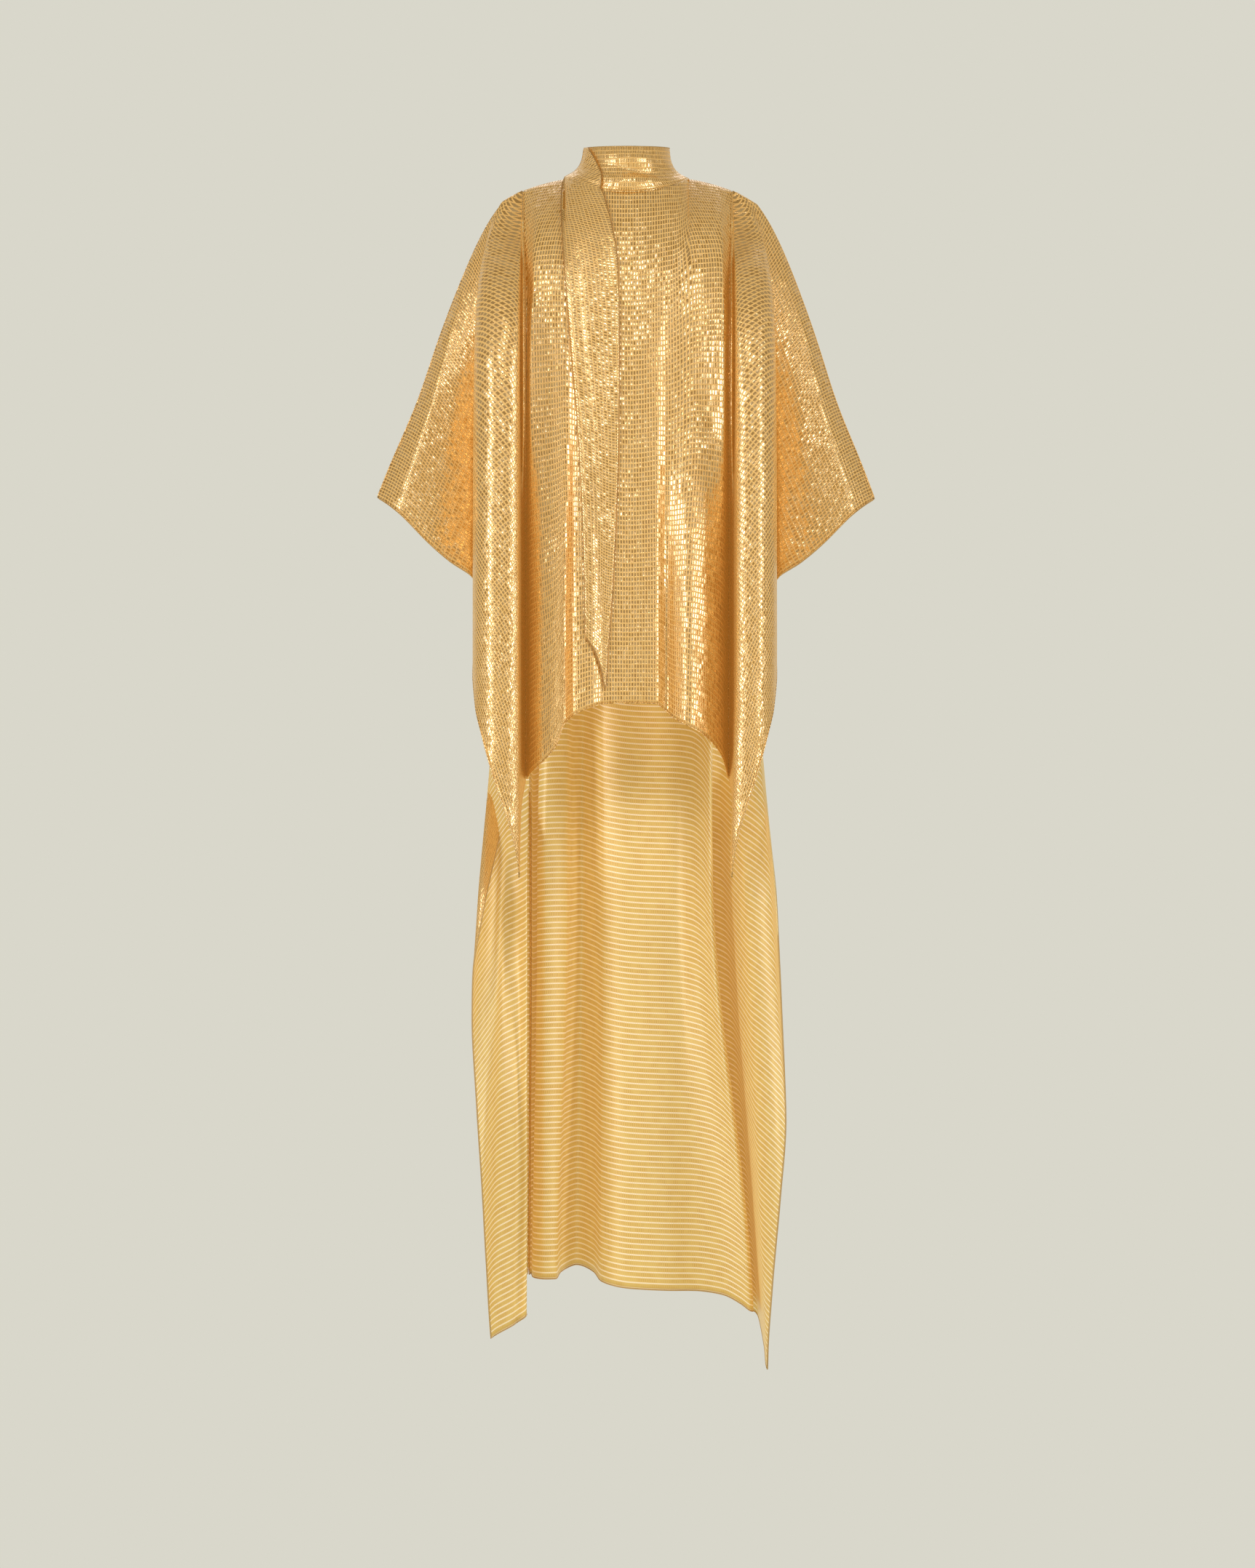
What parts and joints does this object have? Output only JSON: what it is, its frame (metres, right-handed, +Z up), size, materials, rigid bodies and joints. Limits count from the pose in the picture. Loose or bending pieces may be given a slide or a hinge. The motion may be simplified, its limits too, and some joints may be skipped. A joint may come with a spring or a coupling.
{
  "type": "kaftan",
  "caption": "Worn hollow kaftan of gold metallic cloth with a short front, a floor-length back, wide open sleeves, a funnel collar and a hanging scarf end.",
  "frame": {"origin": "neck base between the shoulders, where the wearer's shoulders hold the garment up", "axes": "+Z up, the front faces -Y, +X to the right as seen from the front"},
  "size_m": [0.6434, 0.3247, 1.5803],
  "materials": {
    "gold_cloth": "metallic woven cloth, gold outside, pale striped inside",
    "scarf_cloth": "the same metallic cloth, weave turned"
  },
  "bodies": {
    "root": {"front_body": "gold_cloth", "back_body": "gold_cloth", "wing_front_left": "gold_cloth", "wing_front_right": "gold_cloth", "wing_back_left": "gold_cloth", "wing_back_right": "gold_cloth", "collar": "gold_cloth", "scarf": "scarf_cloth"}
  },
  "joints": []
}
